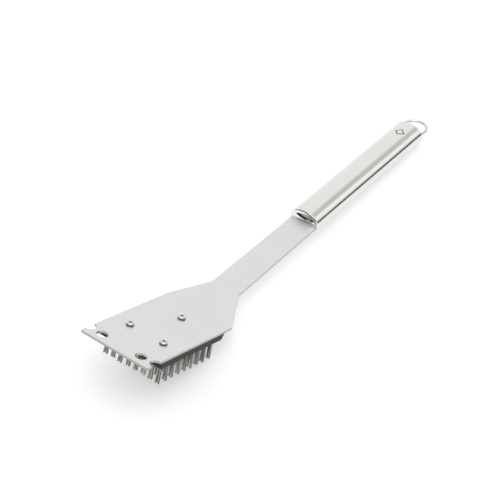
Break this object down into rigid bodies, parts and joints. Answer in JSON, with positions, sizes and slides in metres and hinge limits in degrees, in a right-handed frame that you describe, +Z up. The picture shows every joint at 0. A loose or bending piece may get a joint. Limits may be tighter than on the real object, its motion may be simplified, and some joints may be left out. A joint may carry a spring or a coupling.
{
  "type": "grill cleaning brush",
  "caption": "Long steel grill cleaning brush: bent sheet head with scraping notches and holes, screwed-on tufted block, domed oval hollow handle and wire hanging loop.",
  "frame": {"origin": "on the surface the brush rests on, under the middle of its length", "axes": "+Z up, +Y from the head towards the hanging loop, +X across the head"},
  "size_m": [0.07, 0.4598, 0.0606],
  "materials": {
    "sheet_steel": "satin sheet with fine grain",
    "handle_steel": "brushed lengthwise",
    "polished_steel": "mirror polished domes",
    "wire_steel": "polished wire",
    "screw_steel": "polished pan heads",
    "bristle_steel": "flat drawn wire",
    "block_plastic": "black moulded, fine texture",
    "inner_steel": "plain, hidden"
  },
  "bodies": {
    "root": {"blade": "sheet_steel", "brush_block": "block_plastic", "tuft_anchors": "inner_steel", "screw_front_left": "screw_steel", "screw_front_right": "screw_steel", "screw_rear": "screw_steel", "handle_tube": "handle_steel", "front_cap": "polished_steel", "rear_cap": "polished_steel", "hanging_loop": "wire_steel", "tang_bulkhead_front": "inner_steel", "tang_bulkhead_rear": "inner_steel", "loop_plate": "inner_steel", "bristle_row_1": "bristle_steel", "bristle_row_2": "bristle_steel", "bristle_row_3": "bristle_steel", "bristle_row_4": "bristle_steel", "bristle_row_5": "bristle_steel", "bristle_row_6": "bristle_steel", "bristle_row_7": "bristle_steel", "bristle_row_8": "bristle_steel", "bristle_row_9": "bristle_steel"}
  },
  "joints": []
}
